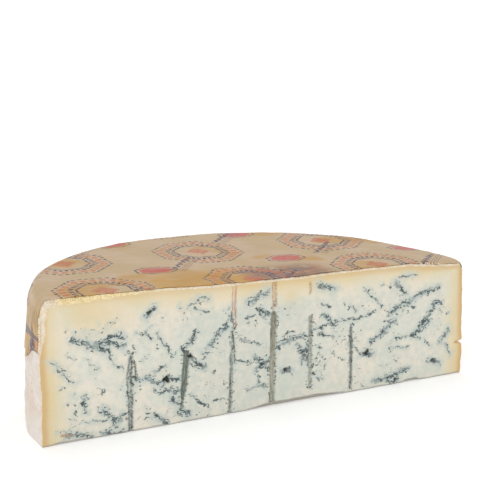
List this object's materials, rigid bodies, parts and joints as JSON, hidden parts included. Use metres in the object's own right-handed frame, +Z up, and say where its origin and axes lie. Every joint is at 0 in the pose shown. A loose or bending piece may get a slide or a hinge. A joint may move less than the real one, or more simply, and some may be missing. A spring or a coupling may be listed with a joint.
{
  "type": "half wheel of gorgonzola cheese",
  "caption": "Half a wheel of blue-veined cheese standing on its level cut, with an upright cut face, bare rind below and a foil skin over the top.",
  "frame": {"origin": "middle of the bounding box's underside, on the level cut that the cheese stands on", "axes": "+X along the upright cut face, -Y out of that face, +Z up"},
  "size_m": [0.3038, 0.1492, 0.0903],
  "materials": {
    "paste": "moist satin, cream with blue-green mould veins and a bare pinkish rind",
    "foil": null
  },
  "bodies": {
    "root": {"cheese": "paste", "wrapper": "foil"}
  },
  "joints": []
}
